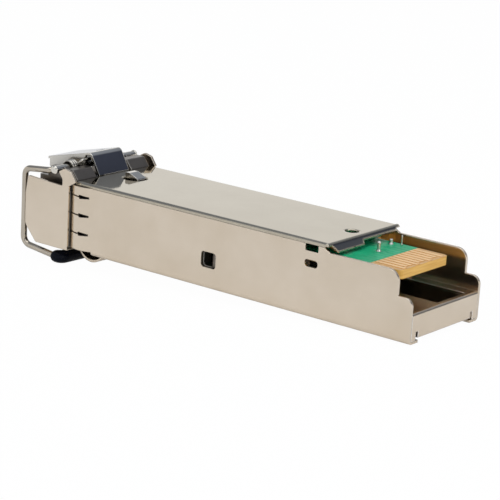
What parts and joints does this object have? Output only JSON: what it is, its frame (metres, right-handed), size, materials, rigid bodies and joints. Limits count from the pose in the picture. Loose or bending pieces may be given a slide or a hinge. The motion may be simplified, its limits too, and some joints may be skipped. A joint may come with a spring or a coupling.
{
  "type": "sfp transceiver",
  "caption": "Pluggable optical network module: sheet-metal case with duplex fibre ports, wire bail, rocking latch and an edge connector.",
  "frame": {"origin": "on the label face, midway between the two sides and midway along the 47.5 mm that goes into the cage", "axes": "+X towards the host connector, -X towards the fibre ports, +Z from the label face up through the latch side, +Y across the width"},
  "size_m": [0.0561, 0.0144, 0.013],
  "materials": {
    "nickel_sheet": "satin nickel-plated sheet",
    "polished_sheet": "bright nickel-plated sheet",
    "zinc_casting": "nickel-plated zinc casting",
    "wire_steel": "drawn stainless wire",
    "spring_steel": "bright spring wire",
    "pin_steel": "turned steel",
    "grip_plastic": "moulded black",
    "port_plastic": "moulded black",
    "barrel_steel": "turned stainless",
    "can_metal": "gold-plated can",
    "sleeve_ceramic": "ground zirconia",
    "flex_film": "polyimide film",
    "board_laminate": "green solder mask",
    "contact_gold": "hard gold plating",
    "chip_resin": "moulded epoxy",
    "capacitor_ceramic": "ceramic chip",
    "resistor_ceramic": "coated alumina",
    "inductor_ferrite": "ferrite"
  },
  "bodies": {
    "module": {"chassis_shell": "nickel_sheet", "top_cover": "polished_sheet", "rear_tray": "nickel_sheet", "nose_casting": "zinc_casting", "nose_shroud": "nickel_sheet", "port_insert": "port_plastic", "osa_clip": "polished_sheet", "main_board": "board_laminate", "contacts_latch_side": "contact_gold", "contacts_label_side": "contact_gold", "driver_chip": "chip_resin", "amplifier_chip": "chip_resin", "controller_chip": "chip_resin", "memory_chip": "chip_resin", "capacitors": "capacitor_ceramic", "resistors": "resistor_ceramic", "inductors": "inductor_ferrite", "lever_pin": "pin_steel", "return_spring": "spring_steel", "transmit_barrel": "barrel_steel", "transmit_sleeve": "sleeve_ceramic", "transmit_can": "can_metal", "transmit_flex": "flex_film", "receive_barrel": "barrel_steel", "receive_sleeve": "sleeve_ceramic", "receive_can": "can_metal", "receive_flex": "flex_film"},
    "bail": {"bail_wire": "wire_steel", "bail_grip": "grip_plastic"},
    "lever": {"latch_lever": "polished_sheet"}
  },
  "joints": [
    {"name": "bail_swing", "type": "hinge", "parent": "module", "child": "bail", "pos_m": [-0.02805, 0, 0.00895], "axis": [0, 1, 0], "range_deg": [0, 90]},
    {"name": "lever_rock", "type": "hinge", "parent": "module", "child": "lever", "pos_m": [-0.0269, 0, 0.0093], "axis": [0, 1, 0], "range_deg": [0, 7]}
  ],
  "couplings": [
    {"joint": "lever_rock", "follows": "bail_swing", "ratio": 0.077778}
  ]
}
